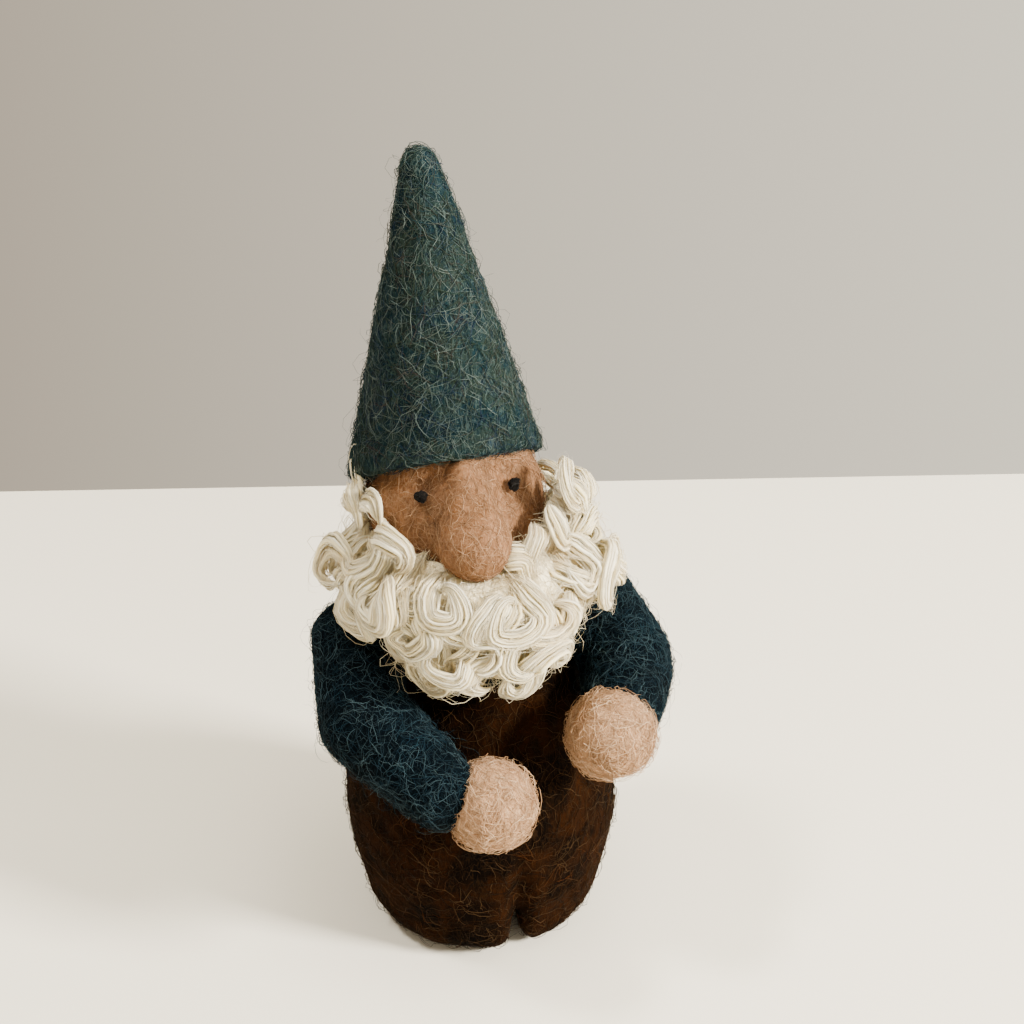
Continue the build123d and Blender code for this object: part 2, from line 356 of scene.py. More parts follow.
def fleece_lock_tree() -> bpy.types.NodeTree:
    """Locks of fleece along guide curves: soft bundles with many fine strands over them.

    Returns:
        The geometry tree.
    """
    number = "NodeSocketFloat"
    tree = new_geometry_tree("fleece_locks", {
        "Strands": "NodeSocketInt", "Bundles": "NodeSocketInt", "Width": number, "Depth": number,
        "Strand Radius": number, "Twist": number, "Stray": number,
        "Middle": "NodeSocketVector", "Material": "NodeSocketMaterial"})
    graph = Graph(tree)
    given = graph.node("NodeGroupInput").outputs
    along = graph.node("GeometryNodeSplineParameter").outputs["Factor"]
    strand = graph.node("GeometryNodeCurveOfPoint").outputs["Curve Index"]

    strands, _ = fanned_copies(graph, given["Strands"], 21, 0.55, 1.0)
    cut = graph.node("GeometryNodeTrimCurve", {"Curve": strands, 3: graph.random(0.72, 1.0, 31, strand)})
    taper = graph.math("SUBTRACT", 1.0, graph.math("MULTIPLY", graph.math("POWER", along, 4.0), 0.85))
    taper = graph.math("MULTIPLY", taper, graph.random(0.55, 1.35, 32, strand))
    tubes = tube_ends(graph, cut.outputs[0], taper, given["Strand Radius"], 3)

    bundles, swell = fanned_copies(graph, given["Bundles"], 41, 0.0, 0.12)
    girth = graph.math("MULTIPLY", graph.math("MULTIPLY", swell, given["Depth"]),
                       graph.random(0.10, 0.23, 33, strand))
    bundle_tubes = tube_ends(graph, bundles, girth, 1.0, 4)
    hearts, swell = fanned_copies(graph, 3, 51, 0.0, 0.2)
    girth = graph.math("MULTIPLY", graph.math("MULTIPLY", swell, given["Depth"]), 0.34)
    heart_tubes = tube_ends(graph, hearts, girth, 1.0, 5)
    joined = graph.node("GeometryNodeJoinGeometry")
    for part in (tubes, bundle_tubes, heart_tubes):
        tree.links.new(part, joined.inputs[0])
    smooth = graph.node("GeometryNodeSetShadeSmooth", {0: joined.outputs[0]})
    solid = graph.node("GeometryNodeRealizeInstances", {"Geometry": smooth.outputs[0]}).outputs[0]
    dressed = graph.node("GeometryNodeSetMaterial", {"Geometry": solid, "Material": given["Material"]})
    graph.node("NodeGroupOutput", {0: dressed.outputs[0]})
    return tree


def grown_mesh(host: bpy.types.Object, tree: bpy.types.NodeTree, values: dict[str, object],
               name: str) -> bpy.types.Object:
    """Run a geometry tree on a host object and keep the result as a plain mesh.

    Args:
        host: the object whose mesh or curves the tree reads.
        tree: the geometry tree.
        values: input name to value.
        name: the new object's name.

    Returns:
        The new object, with no modifier, at the origin.
    """
    modifier = host.modifiers.new("grow", "NODES")
    modifier.node_group = tree
    for item in tree.interface.items_tree:
        if item.item_type == "SOCKET" and item.in_out == "INPUT" and item.name in values:
            modifier[item.identifier] = values[item.name]
    host.update_tag()
    bpy.context.view_layer.update()
    graph = bpy.context.evaluated_depsgraph_get()
    mesh = bpy.data.meshes.new_from_object(host.evaluated_get(graph), depsgraph=graph)
    host.modifiers.remove(modifier)
    mesh.name = name
    made = bpy.data.objects.new(name, mesh)
    bpy.context.scene.collection.objects.link(made)
    keep_off_floor(mesh)
    mesh.shade_smooth()
    return made


# ---- meshes ---------------------------------------------------------------------------------------
def coordinates(mesh: bpy.types.Mesh) -> np.ndarray:
    """Every vertex's place, one row each."""
    flat = np.empty(len(mesh.vertices) * 3, dtype=np.float32)
    mesh.vertices.foreach_get("co", flat)
    return flat.reshape(-1, 3).astype(np.float64)


def set_coordinates(mesh: bpy.types.Mesh, places: np.ndarray) -> None:
    """Move every vertex to its row's place."""
    mesh.vertices.foreach_set("co", places.astype(np.float32).ravel())
    mesh.update()


def keep_off_floor(mesh: bpy.types.Mesh) -> None:
    """Lift whatever reaches below the surface that the figure stands on."""
    places = coordinates(mesh)
    places[:, 2] = np.maximum(places[:, 2], FLOOR_GAP)
    set_coordinates(mesh, places)


def surface_area(mesh: bpy.types.Mesh) -> float:
    """The mesh's whole area, in square metres."""
    areas = np.empty(len(mesh.polygons), dtype=np.float32)
    mesh.polygons.foreach_get("area", areas)
    return float(areas.sum())


def felt_form(name: str, nodes: list[str], voxel: float, smoothing: int,
              lump: float, lump_size: float) -> bpy.types.Object:
    """One closed, softly lumpy skin round some CAD nodes, as needle felt has.

    Args:
        name: the new object's name.
        nodes: the CAD nodes that the skin goes round.
        voxel: size of the skin's mesh, in metres.
        smoothing: rounds of smoothing, which soften the edges.
        lump: height of the lumps, in metres.
        lump_size: distance between lumps, in metres.

    Returns:
        The new object.
    """
    joined = bmesh.new()
    for node in nodes:
        joined.from_mesh(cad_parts[node].data)
    bmesh.ops.remove_doubles(joined, verts=joined.verts, dist=1e-6)
    rough = bpy.data.meshes.new(name)
    joined.to_mesh(rough)
    joined.free()
    host = bpy.data.objects.new(name + "_host", rough)
    bpy.context.scene.collection.objects.link(host)
    remesh = host.modifiers.new("skin", "REMESH")
    remesh.mode = "VOXEL"
    remesh.voxel_size = voxel
    soften = host.modifiers.new("soften", "SMOOTH")
    soften.factor = 0.5
    soften.iterations = smoothing
    graph = bpy.context.evaluated_depsgraph_get()
    mesh = bpy.data.meshes.new_from_object(host.evaluated_get(graph), depsgraph=graph)
    bpy.data.objects.remove(host)
    made = bpy.data.objects.new(name, mesh)
    bpy.context.scene.collection.objects.link(made)
    add_lumps(mesh, lump, lump_size)
    keep_off_floor(mesh)
    mesh.shade_smooth()
    return made


def vertex_normals(mesh: bpy.types.Mesh) -> np.ndarray:
    """Every vertex's outward direction, one row each."""
    flat = np.empty(len(mesh.vertices) * 3, dtype=np.float32)
    mesh.vertices.foreach_get("normal", flat)
    return flat.reshape(-1, 3).astype(np.float64)


def add_lumps(mesh: bpy.types.Mesh, height: float, size: float) -> None:
    """Push a surface in and out softly, in lumps of two sizes.

    Args:
        mesh: the mesh to change.
        height: the most that the large lumps move it, in metres.
        size: distance between the large lumps, in metres.
    """
    places = coordinates(mesh)
    normals = vertex_normals(mesh)
    coarse = np.array([noise.noise(Vector(place) / size) for place in places])
    fine = np.array([noise.noise(Vector(place) * 3.7 / size) for place in places])
    set_coordinates(mesh, places + normals * ((coarse + 0.3 * fine) * height)[:, None])


def falloff(distance: np.ndarray, reach: float) -> np.ndarray:
    """A bell that is 1 at no distance and fades out over reach."""
    return np.exp(-((distance / reach) ** 2))


def plain_object(name: str, mesh: bpy.types.Mesh) -> bpy.types.Object:
    """A mesh as an object at the origin."""
    made = bpy.data.objects.new(name, mesh)
    bpy.context.scene.collection.objects.link(made)
    return made


# ---- finishes --------------------------------------------------------------------------------------
def fibre_mask_group() -> bpy.types.NodeTree:
    """Shader group: thin wandering fibre lines, soft colour patches and a height for felted wool.

    Returns:
        The node group, built once.
    """
    name = "felted_fibres"
    if name in bpy.data.node_groups:
        return bpy.data.node_groups[name]
    tree = bpy.data.node_groups.new(name, "ShaderNodeTree")
    for socket, value in (("Fibre Scale", 900.0), ("Patch Scale", 120.0), ("Line Width", 0.03)):
        made = tree.interface.new_socket(socket, in_out="INPUT", socket_type="NodeSocketFloat")
        made.default_value = value
    for socket in ("Fibres", "Dark Fibres", "Patches", "Streaks", "Height"):
        tree.interface.new_socket(socket, in_out="OUTPUT", socket_type="NodeSocketFloat")
    graph = Graph(tree)
    given = graph.node("NodeGroupInput").outputs
    place = graph.node("ShaderNodeTexCoord").outputs["Object"]
    masks = []
    for turn in ((0.3, 0.9, 0.2), (1.1, 0.2, 1.9), (0.7, 2.3, 0.8), (2.0, 1.2, 2.6)):
        mapped = graph.node("ShaderNodeMapping", {"Vector": place, "Rotation": turn,
                                                  "Scale": (1.0, 1.0, 0.28)}).outputs[0]
        field_of = graph.node("ShaderNodeTexNoise", {
            "Vector": mapped, "Scale": given["Fibre Scale"], "Detail": 1.0, "Distortion": 0.6})
        ridge = graph.math("ABSOLUTE", graph.math("SUBTRACT", field_of.outputs[0], 0.5))
        line = graph.math("SUBTRACT", 1.0, graph.math("DIVIDE", ridge, given["Line Width"]))
        masks.append(graph.math("MAXIMUM", line, 0.0))
    light = graph.math("MAXIMUM", masks[0], masks[1])
    dark = graph.math("MAXIMUM", masks[2], masks[3])
    patches = graph.node("ShaderNodeTexNoise", {
        "Vector": place, "Scale": given["Patch Scale"], "Detail": 4.0, "Roughness": 0.6})
    drawn = graph.node("ShaderNodeMapping", {"Vector": place, "Rotation": (0.4, 0.5, 0.9),
                                             "Scale": (1.0, 1.0, 0.35)}).outputs[0]
    streaks = graph.node("ShaderNodeTexNoise", {"Vector": drawn, "Scale": 430.0, "Detail": 5.0})
    height = graph.math("ADD", graph.math("MULTIPLY", light, 0.6), graph.math("MULTIPLY", dark, 0.5))
    height = graph.math("ADD", height, graph.math("MULTIPLY", streaks.outputs[0], 0.8))
    graph.node("NodeGroupOutput", {"Fibres": light, "Dark Fibres": dark,
                                   "Patches": patches.outputs[0], "Streaks": streaks.outputs[0],
                                   "Height": height})
    return tree


def ramp(graph: Graph, factor: bpy.types.NodeSocket, colours: tuple[Colour, ...],
         low: float = 0.0, high: float = 1.0) -> bpy.types.NodeSocket:
    """Evenly spaced colours along a number.

    Args:
        graph: the tree being wired.
        factor: the number's socket.
        colours: the colours in order.
        low: the number at the first colour.
        high: the number at the last colour.

    Returns:
        The colour's socket.
    """
    node = graph.node("ShaderNodeValToRGB", {"Fac": factor})
    stops = node.color_ramp.elements
    while len(stops) < len(colours):
        stops.new(0.5)
    for step, colour in enumerate(colours):
        stops[step].position = low + (high - low) * step / max(len(colours) - 1, 1)
        stops[step].color = (*colour, 1.0)
    return node.outputs[0]


def mixed(graph: Graph, amount: object, first: object, second: object,
          blend: str = "MIX") -> bpy.types.NodeSocket:
    """Two colours mixed.

    Args:
        graph: the tree being wired.
        amount: share of the second colour.
        first: colour or socket.
        second: colour or socket.
        blend: the Mix node's blend type.

    Returns:
        The colour's socket.
    """
    node = graph.node("ShaderNodeMix", {0: amount, 6: first, 7: second}, data_type="RGBA",
                      blend_type=blend)
    return node.outputs[2]


def new_material(name: str) -> tuple[bpy.types.Material, Graph, bpy.types.Node]:
    """A material with a bare Principled shader.

    Args:
        name: the material's name.

    Returns:
        The material, its graph and its Principled node.
    """
    material = bpy.data.materials.new(name)
    material.use_nodes = True
    graph = Graph(material.node_tree)
    shader = graph.node("ShaderNodeBsdfPrincipled")
    graph.node("ShaderNodeOutputMaterial", {"Surface": shader.outputs[0]})
    return material, graph, shader


@dataclass(frozen=True)
class FeltFinish:
    """Matted wool: patches of dyed wool with fine lighter and darker fibres felted in."""

    name: str
    patches: tuple[Colour, ...]
    light_fibre: Colour
    dark_fibre: Colour
    light_share: float = 0.55
    dark_share: float = 0.45
    patch_scale: float = 120.0
    fibre_scale: float = 900.0
    contrast: float = 1.1
    bump: float = 0.5
    depth: float = 0.35 * MM

    def build(self) -> bpy.types.Material:
        """Make the material."""
        material, graph, shader = new_material(self.name)
        felt = graph.node("ShaderNodeGroup", node_tree=fibre_mask_group())
        felt.inputs["Fibre Scale"].default_value = self.fibre_scale
        felt.inputs["Patch Scale"].default_value = self.patch_scale
        base = ramp(graph, felt.outputs["Patches"], self.patches, 0.32, 0.68)
        shade = graph.math("MULTIPLY_ADD", felt.outputs["Streaks"], self.contrast, 1.0 - self.contrast / 2)
        shade = graph.node("ShaderNodeCombineColor", {0: shade, 1: shade, 2: shade}).outputs[0]
        base = mixed(graph, 1.0, base, shade, "MULTIPLY")
        share = graph.math("MULTIPLY", felt.outputs["Dark Fibres"], self.dark_share)
        base = mixed(graph, share, base, (*self.dark_fibre, 1.0))
        share = graph.math("MULTIPLY", felt.outputs["Fibres"], self.light_share)
        base = mixed(graph, share, base, (*self.light_fibre, 1.0))
        rough = graph.math("MULTIPLY_ADD", felt.outputs["Streaks"], 0.15, 0.8)
        bump = graph.node("ShaderNodeBump", {"Height": felt.outputs["Height"],
                                             "Strength": self.bump, "Distance": self.depth})
        links = graph.tree.links
        links.new(base, shader.inputs["Base Color"])
        links.new(rough, shader.inputs["Roughness"])
        links.new(bump.outputs[0], shader.inputs["Normal"])
        shader.inputs["Specular IOR Level"].default_value = 0.02
        return material


@dataclass(frozen=True)
class FibreFinish:
    """Single wool fibres, each tinted by its own share of the dyed wools."""

    name: str
    tints: tuple[Colour, ...]
    pale: Colour
    roughness: float = 0.75
    specular: float = 0.05

    def build(self) -> bpy.types.Material:
        """Make the material."""
        material, graph, shader = new_material(self.name)
        tint = graph.node("ShaderNodeAttribute", attribute_name="tint").outputs["Fac"]
        base = ramp(graph, tint, self.tints)
        pale = graph.node("ShaderNodeAttribute", attribute_name="pale").outputs["Fac"]
        base = mixed(graph, pale, base, (*self.pale, 1.0))
        place = graph.node("ShaderNodeTexCoord").outputs["Object"]
        mottle = graph.node("ShaderNodeTexNoise", {"Vector": place, "Scale": 700.0, "Detail": 2.0})
        shade = graph.math("MULTIPLY_ADD", mottle.outputs[0], 0.7, 0.65)
        shade = graph.node("ShaderNodeCombineColor", {0: shade, 1: shade, 2: shade}).outputs[0]
        base = mixed(graph, 1.0, base, shade, "MULTIPLY")
        rough = graph.math("MULTIPLY_ADD", mottle.outputs[0], 0.2, self.roughness - 0.1)
        graph.tree.links.new(base, shader.inputs["Base Color"])
        graph.tree.links.new(rough, shader.inputs["Roughness"])
        shader.inputs["Specular IOR Level"].default_value = self.specular
        return material


@dataclass(frozen=True)
class FleeceFinish:
    """Lustrous raw fleece: cream to white strands with a little golden grease at places."""

    name: str
    tints: tuple[Colour, ...]
    golden: Colour
    golden_share: float = 0.5
    hairs: float = 2.6
    drawn: float = 2.2

    def build(self) -> bpy.types.Material:
        """Make the material."""
        material, graph, shader = new_material(self.name)
        tint = graph.node("ShaderNodeAttribute", attribute_name="tint").outputs["Fac"]
        base = ramp(graph, tint, self.tints)
        place = graph.node("ShaderNodeTexCoord").outputs["Object"]
        stain = graph.node("ShaderNodeTexNoise", {"Vector": place, "Scale": 75.0, "Detail": 2.0})
        amount = graph.node("ShaderNodeMapRange", {"Value": stain.outputs[0], "From Min": 0.52,
                                                   "From Max": 0.72, "To Max": self.golden_share})
        base = mixed(graph, amount.outputs[0], base, (*self.golden, 1.0))
        rim = graph.node("ShaderNodeAttribute", attribute_name="rim").outputs["Vector"]
        along = graph.node("ShaderNodeAttribute", attribute_name="along").outputs["Fac"]
        length = graph.math("MULTIPLY_ADD", tint, 40.0, graph.math("MULTIPLY", along, self.drawn))
        drawn = graph.node("ShaderNodeCombineXYZ", {2: length}).outputs[0]
        drawn = graph.vector("ADD", graph.vector("SCALE", rim, self.hairs), drawn)
        fine = graph.node("ShaderNodeTexNoise", {"Vector": drawn, "Scale": 1.0, "Detail": 3.0})
        shade = graph.math("MULTIPLY_ADD", fine.outputs[0], 0.7, 0.67)
        shade = graph.node("ShaderNodeCombineColor", {0: shade, 1: shade, 2: shade}).outputs[0]
        base = mixed(graph, 1.0, base, shade, "MULTIPLY")
        rough = graph.math("MULTIPLY_ADD", fine.outputs[0], 0.2, 0.32)
        bump = graph.node("ShaderNodeBump", {"Height": fine.outputs[0], "Strength": 0.9,
                                             "Distance": 0.2 * MM})
        links = graph.tree.links
        links.new(base, shader.inputs["Base Color"])
        links.new(rough, shader.inputs["Roughness"])
        links.new(bump.outputs[0], shader.inputs["Normal"])
        shader.inputs["Specular IOR Level"].default_value = 0.4
        shader.inputs["Sheen Weight"].default_value = 0.25
        shader.inputs["Subsurface Weight"].default_value = 0.35
        shader.inputs["Subsurface Radius"].default_value = (1.0, 0.9, 0.7)
        shader.inputs["Subsurface Scale"].default_value = 1.2 * MM
        return material


class Wool(Enum):
    """The wools that the figure is made of."""

    TEAL = "teal_wool"
    NAVY = "navy_wool"
    BROWN = "brown_wool"
    FACE = "face_wool"
    HAND = "hand_wool"
    BLACK = "black_wool"
    LOCK = "fleece_lock"
    ROOT = "fleece_root"


FELTS = {
    Wool.TEAL: FeltFinish("teal_felt", ((0.0055, 0.0101, 0.0176), (0.0047, 0.0156, 0.021),
                                        (0.0125, 0.021, 0.0176), (0.0062, 0.0140, 0.026)),
                          (0.058, 0.086, 0.080), (0.0012, 0.0031, 0.0048)),
    Wool.NAVY: FeltFinish("navy_felt", ((0.0004, 0.0010, 0.0016), (0.0008, 0.0024, 0.0038),
                                        (0.0005, 0.0014, 0.0028)),
                          (0.006, 0.014, 0.019), (0.0002, 0.0004, 0.0006), light_share=0.35),
    Wool.BROWN: FeltFinish("brown_felt", ((0.0010, 0.0005, 0.0003), (0.0029, 0.0013, 0.0005),
                                          (0.0140, 0.0044, 0.0008), (0.0018, 0.0010, 0.0004)),
                           (0.0168, 0.0080, 0.0030), (0.0004, 0.0002, 0.0001), patch_scale=75.0),
    Wool.FACE: FeltFinish("face_felt", ((0.137, 0.065, 0.030), (0.187, 0.092, 0.046),
                                        (0.202, 0.089, 0.037)),
                          (0.331, 0.198, 0.112), (0.072, 0.032, 0.0136), dark_share=0.45, bump=0.4),
    Wool.HAND: FeltFinish("hand_felt", ((0.310, 0.172, 0.090), (0.378, 0.224, 0.122),
                                        (0.335, 0.184, 0.094)),
                          (0.568, 0.384, 0.230), (0.129, 0.062, 0.029), dark_share=0.45),
    Wool.BLACK: FeltFinish("black_felt", ((0.004, 0.004, 0.004), (0.008, 0.007, 0.006)),
                           (0.03, 0.025, 0.02), (0.001, 0.001, 0.001)),
    Wool.ROOT: FeltFinish("fleece_ground", ((0.880, 0.718, 0.413), (0.940, 0.815, 0.525),
                                            (0.960, 0.863, 0.602)),
                          (0.980, 0.912, 0.688), (0.700, 0.514, 0.258), light_share=0.6, dark_share=0.25),
}

FIBRES = {
    Wool.TEAL: FibreFinish("teal_fibre", (
        (0.0047, 0.0078, 0.022), (0.0055, 0.0140, 0.032), (0.0047, 0.0179, 0.025), (0.0078, 0.024, 0.022),
        (0.0156, 0.026, 0.0152), (0.027, 0.023, 0.0192), (0.030, 0.022, 0.022)), (0.090, 0.117, 0.108)),
    Wool.NAVY: FibreFinish("navy_fibre", (
        (0.0007, 0.0020, 0.0036), (0.0015, 0.0050, 0.0078), (0.0026, 0.0095, 0.0155),
        (0.0045, 0.0160, 0.0260), (0.0075, 0.0240, 0.0300)), (0.045, 0.076, 0.088)),
    Wool.BROWN: FibreFinish("brown_fibre", (
        (0.0014, 0.0007, 0.0003), (0.0038, 0.0018, 0.0006), (0.0077, 0.0034, 0.0010),
        (0.0168, 0.0059, 0.0012), (0.046, 0.0132, 0.0016)), (0.050, 0.027, 0.0110)),
    Wool.FACE: FibreFinish("face_fibre", (
        (0.108, 0.048, 0.021), (0.166, 0.083, 0.040), (0.209, 0.109, 0.056), (0.238, 0.129, 0.067),
        (0.245, 0.112, 0.045)), (0.418, 0.264, 0.155)),
    Wool.HAND: FibreFinish("hand_fibre", (
        (0.224, 0.112, 0.054), (0.327, 0.184, 0.097), (0.413, 0.248, 0.137), (0.361, 0.200, 0.101)),
        (0.654, 0.464, 0.295)),
    Wool.BLACK: FibreFinish("black_fibre", ((0.003, 0.003, 0.003), (0.012, 0.010, 0.009)),
                            (0.03, 0.03, 0.03)),
    Wool.ROOT: FleeceFinish("fleece_fibre", ((0.900, 0.725, 0.378), (0.960, 0.823, 0.493),
                                             (0.990, 0.911, 0.651)), (0.800, 0.519, 0.176)),
    Wool.LOCK: FleeceFinish("fleece_strand", ((0.910, 0.735, 0.396), (0.970, 0.843, 0.528),
                                              (1.000, 0.921, 0.669)), (0.840, 0.568, 0.211), 0.4),
}


class Wardrobe:
    """Every finish, built once and handed out by wool."""

    def __init__(self) -> None:
        """Build all the materials."""
        self.felts = {wool: finish.build() for wool, finish in FELTS.items()}
        self.fibres = {wool: finish.build() for wool, finish in FIBRES.items()}


@dataclass(frozen=True)
class Coat:
    """A layer of single fibres over a felt form; sizes in millimetres."""

    count: int
    length: float
    wander: float = 3.0
    kink: float = 0.22
    lift: float = 0.9
    looseness: float = 0.1
    thickness: float = 0.055
    points: int = 7
    seed: int = 1
    patches: float = 120.0
    swirls: float = 260.0


@dataclass(frozen=True)
class LockStyle:
    """How a lock of fleece is laid up; sizes in millimetres, the twist in radians."""

    strands: int
    bundles: int
    width: float
    depth: float
    strand: float = 0.055
    stray: float = 0.8
    twist: float = 1.2


class Felting:
    """Makes coats and locks with the two geometry trees."""

    def __init__(self, wardrobe: Wardrobe) -> None:
        """Build the trees.

        Args:
            wardrobe: the finishes.
        """
        self.wardrobe = wardrobe
        self.coat_tree = wool_coat_tree()
        self.lock_tree = fleece_lock_tree()

    def coat(self, form: bpy.types.Object, name: str, wool: Wool, coat: Coat) -> bpy.types.Object:
        """Grow a coat of fibres on a form.

        Args:
            form: the felt form.
            name: the new piece's name.
            wool: the wool of the fibres.
            coat: the coat's sizes.

        Returns:
            The fibres as one mesh piece.
        """
        values = {
            "Density": coat.count / surface_area(form.data), "Length": coat.length * MM,
            "Wander": coat.wander * MM, "Kink": coat.kink * MM, "Lift": coat.lift * MM,
            "Looseness": coat.looseness, "Thickness": coat.thickness * MM, "Seed": coat.seed,
            "Patches": coat.patches, "Swirls": coat.swirls,
            "Points": coat.points, "Material": self.wardrobe.fibres[wool]}
        made = grown_mesh(form, self.coat_tree, values, name)
        return made

    def locks(self, guides: list[tuple[np.ndarray, float]], name: str, style: LockStyle,
              middle: Vector) -> bpy.types.Object:
        """Make locks of fleece along guides.

        Args:
            guides: for each lock its points in metres and its relative thickness.
            name: the new piece's name.
            style: the locks' sizes.
            middle: the point that the locks' flat sides face away from.

        Returns:
            The locks as one mesh piece.
        """
        data = bpy.data.curves.new(name + "_guides", "CURVE")
        data.dimensions = "3D"
        for points, fat in guides:
            spline = data.splines.new("POLY")
            spline.points.add(len(points) - 1)
            for point, place in zip(spline.points, points):
                point.co = (*place, 1.0)
                point.radius = fat
        host = bpy.data.objects.new(name + "_guides", data)
        bpy.context.scene.collection.objects.link(host)
        values = {"Strands": style.strands, "Bundles": style.bundles, "Width": style.width * MM,
                  "Depth": style.depth * MM, "Strand Radius": style.strand * MM,
                  "Twist": style.twist, "Stray": style.stray * MM, "Middle": tuple(middle),
                  "Material": self.wardrobe.fibres[Wool.LOCK]}
        made = grown_mesh(host, self.lock_tree, values, name)
        bpy.data.objects.remove(host)
        return made


# ---- sub-assemblies ---------------------------------------------------------------------------------
def dress(piece: bpy.types.Object, material: bpy.types.Material) -> None:
    """Give a piece one material."""
    piece.data.materials.clear()
    piece.data.materials.append(material)


@dataclass
class FeltPart:
    """A felt form that rides one body, with its coats."""

    name: str
    nodes: list[str]
    wool: Wool
    body: str
    coats: list[Coat]
    voxel: float = 0.8 * MM
    smoothing: int = 6
    lump: float = 0.45 * MM
    lump_size: float = 7.0 * MM
    pieces: list[bpy.types.Object] = field(default_factory=list)

    def shape(self) -> bpy.types.Object:
        """Make the felt form."""
        return felt_form(self.name, self.nodes, self.voxel, self.smoothing, self.lump, self.lump_size)

    def attach(self, piece: bpy.types.Object) -> None:
        """Let a piece follow its body."""
        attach(piece, self.body)

    def build(self, felting: Felting) -> None:
        """Make the form and its coats, and tie them to the body.

        Args:
            felting: makes the coats and holds the finishes.
        """
        form = self.shape()
        dress(form, felting.wardrobe.felts[self.wool])
        coats = [felting.coat(form, f"{self.name}_fibres_{number}", self.wool, coat)
                 for number, coat in enumerate(self.coats, start=1)]
        for piece in (form, *coats):
            self.attach(piece)
            self.pieces.append(piece)
        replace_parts(form, *self.nodes)


@dataclass
class Trousers(FeltPart):
    """Brown felt over the body and the two legs, with the cleft pressed in."""

    cleft_reach: float = 2.4 * MM
    cleft_depth: float = 3.2 * MM

    def shape(self) -> bpy.types.Object:
        """Make the body with a rounded cleft between the legs."""
        form = super().shape()
        places = coordinates(form.data)
        low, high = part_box("left_trouser_leg")
        parting = (low.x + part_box("right_trouser_leg")[1].x) / 2
        rise = np.clip(1.12 - places[:, 2] / high.z, 0, 1) ** 0.5
        dent = falloff(places[:, 0] - parting, self.cleft_reach) * rise * self.cleft_depth
        radius = np.hypot(places[:, 0], places[:, 1])
        pull = 1 - dent / np.maximum(radius, 5 * MM)
        places[:, 1] *= pull
        set_coordinates(form.data, places)
        return form


@dataclass
class Head(FeltPart):
    """Skin-coloured felt over the head, with the nose felted on and the eyes pressed in."""

    def shape(self) -> bpy.types.Object:
        """Make the head with hollows round the eyes and soft cheeks."""
        form = super().shape()
        places = coordinates(form.data)
        normals = vertex_normals(form.data)
        for eye in ("right_eye", "left_eye"):
            low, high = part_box(eye)
            gap = np.linalg.norm(places - np.array((low + high) / 2), axis=1)
            places -= normals * (falloff(gap, 4.2 * MM) * 1.3 * MM)[:, None]
        set_coordinates(form.data, places)
        return form


@dataclass
class Hat(FeltPart):
    """Tall felt cone with a soft thick rim."""

    dent: float = 0.3 * MM
    rim_drop: float = 2.6 * MM
    rim_reach: float = 26 * MM

    def shape(self) -> bpy.types.Object:
        """Make the cone with shallow dents where it was needled."""
        form = super().shape()
        places = coordinates(form.data)
        normals = vertex_normals(form.data)
        dents = np.array([noise.noise(Vector(place) / (16 * MM) + Vector((3, 1, 7)))
                          for place in places])
        set_coordinates(form.data, places + normals * (dents * self.dent)[:, None])
        low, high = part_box(self.nodes[0])
        side = np.clip((places[:, 0] - low.x) / (high.x - low.x) * 1.5 - 0.5, 0, 1)
        near = np.clip(1 - (places[:, 2] - low.z) / self.rim_reach, 0, 1)
        places = coordinates(form.data)
        places[:, 2] -= side * near * self.rim_drop
        set_coordinates(form.data, places)
        return form


@dataclass
class Eye(FeltPart):
    """A small black dot needled into the face, rough round its edge."""

    shrink: float = 0.82

    def shape(self) -> bpy.types.Object:
        """Make the dot smaller than its plug, so that the face's fibres lie over its edge."""
        form = super().shape()
        places = coordinates(form.data)
        middle = places.mean(axis=0)
        set_coordinates(form.data, middle + (places - middle) * self.shrink)
        return form


@dataclass
class Sleeve(FeltPart):
    """A felt sleeve whose root stays on the shoulder; its pieces are fixed in place and do not follow the arm.
    """

    start: Vector = field(default_factory=Vector)
    end: Vector = field(default_factory=Vector)
    root_reach: float = 10.5 * MM
    root_growth: float = 6.5 * MM

    def shape(self) -> bpy.types.Object:
        """Make the sleeve with its root drawn in, so that it is felted to the shoulder."""
        form = super().shape()
        places = coordinates(form.data)
        normals = vertex_normals(form.data)
        outward = math.copysign(1.0, self.start.x)
        root = np.array((self.start.x + outward * 4 * MM, self.start.y - 5 * MM,
                         self.start.z + 5 * MM))
        gap = np.linalg.norm(places - root, axis=1)
        inner = np.clip(-outward * normals[:, 0] + 0.15, 0, 1)
        places[:, 0] -= outward * self.root_growth * falloff(gap, self.root_reach) * inner
        set_coordinates(form.data, places)
        return form

    def attach(self, piece: bpy.types.Object) -> None:
        """Bake a piece's placing into its mesh; the piece follows no body."""
        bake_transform(piece)


@dataclass(frozen=True)
class Curl:
    """One lock of the beard; degrees round from the front, millimetres above the floor."""

    around: float
    height: float
    size: float
    start: float
    turn: float
    fat: float = 1.0
    lift: float = 1.5


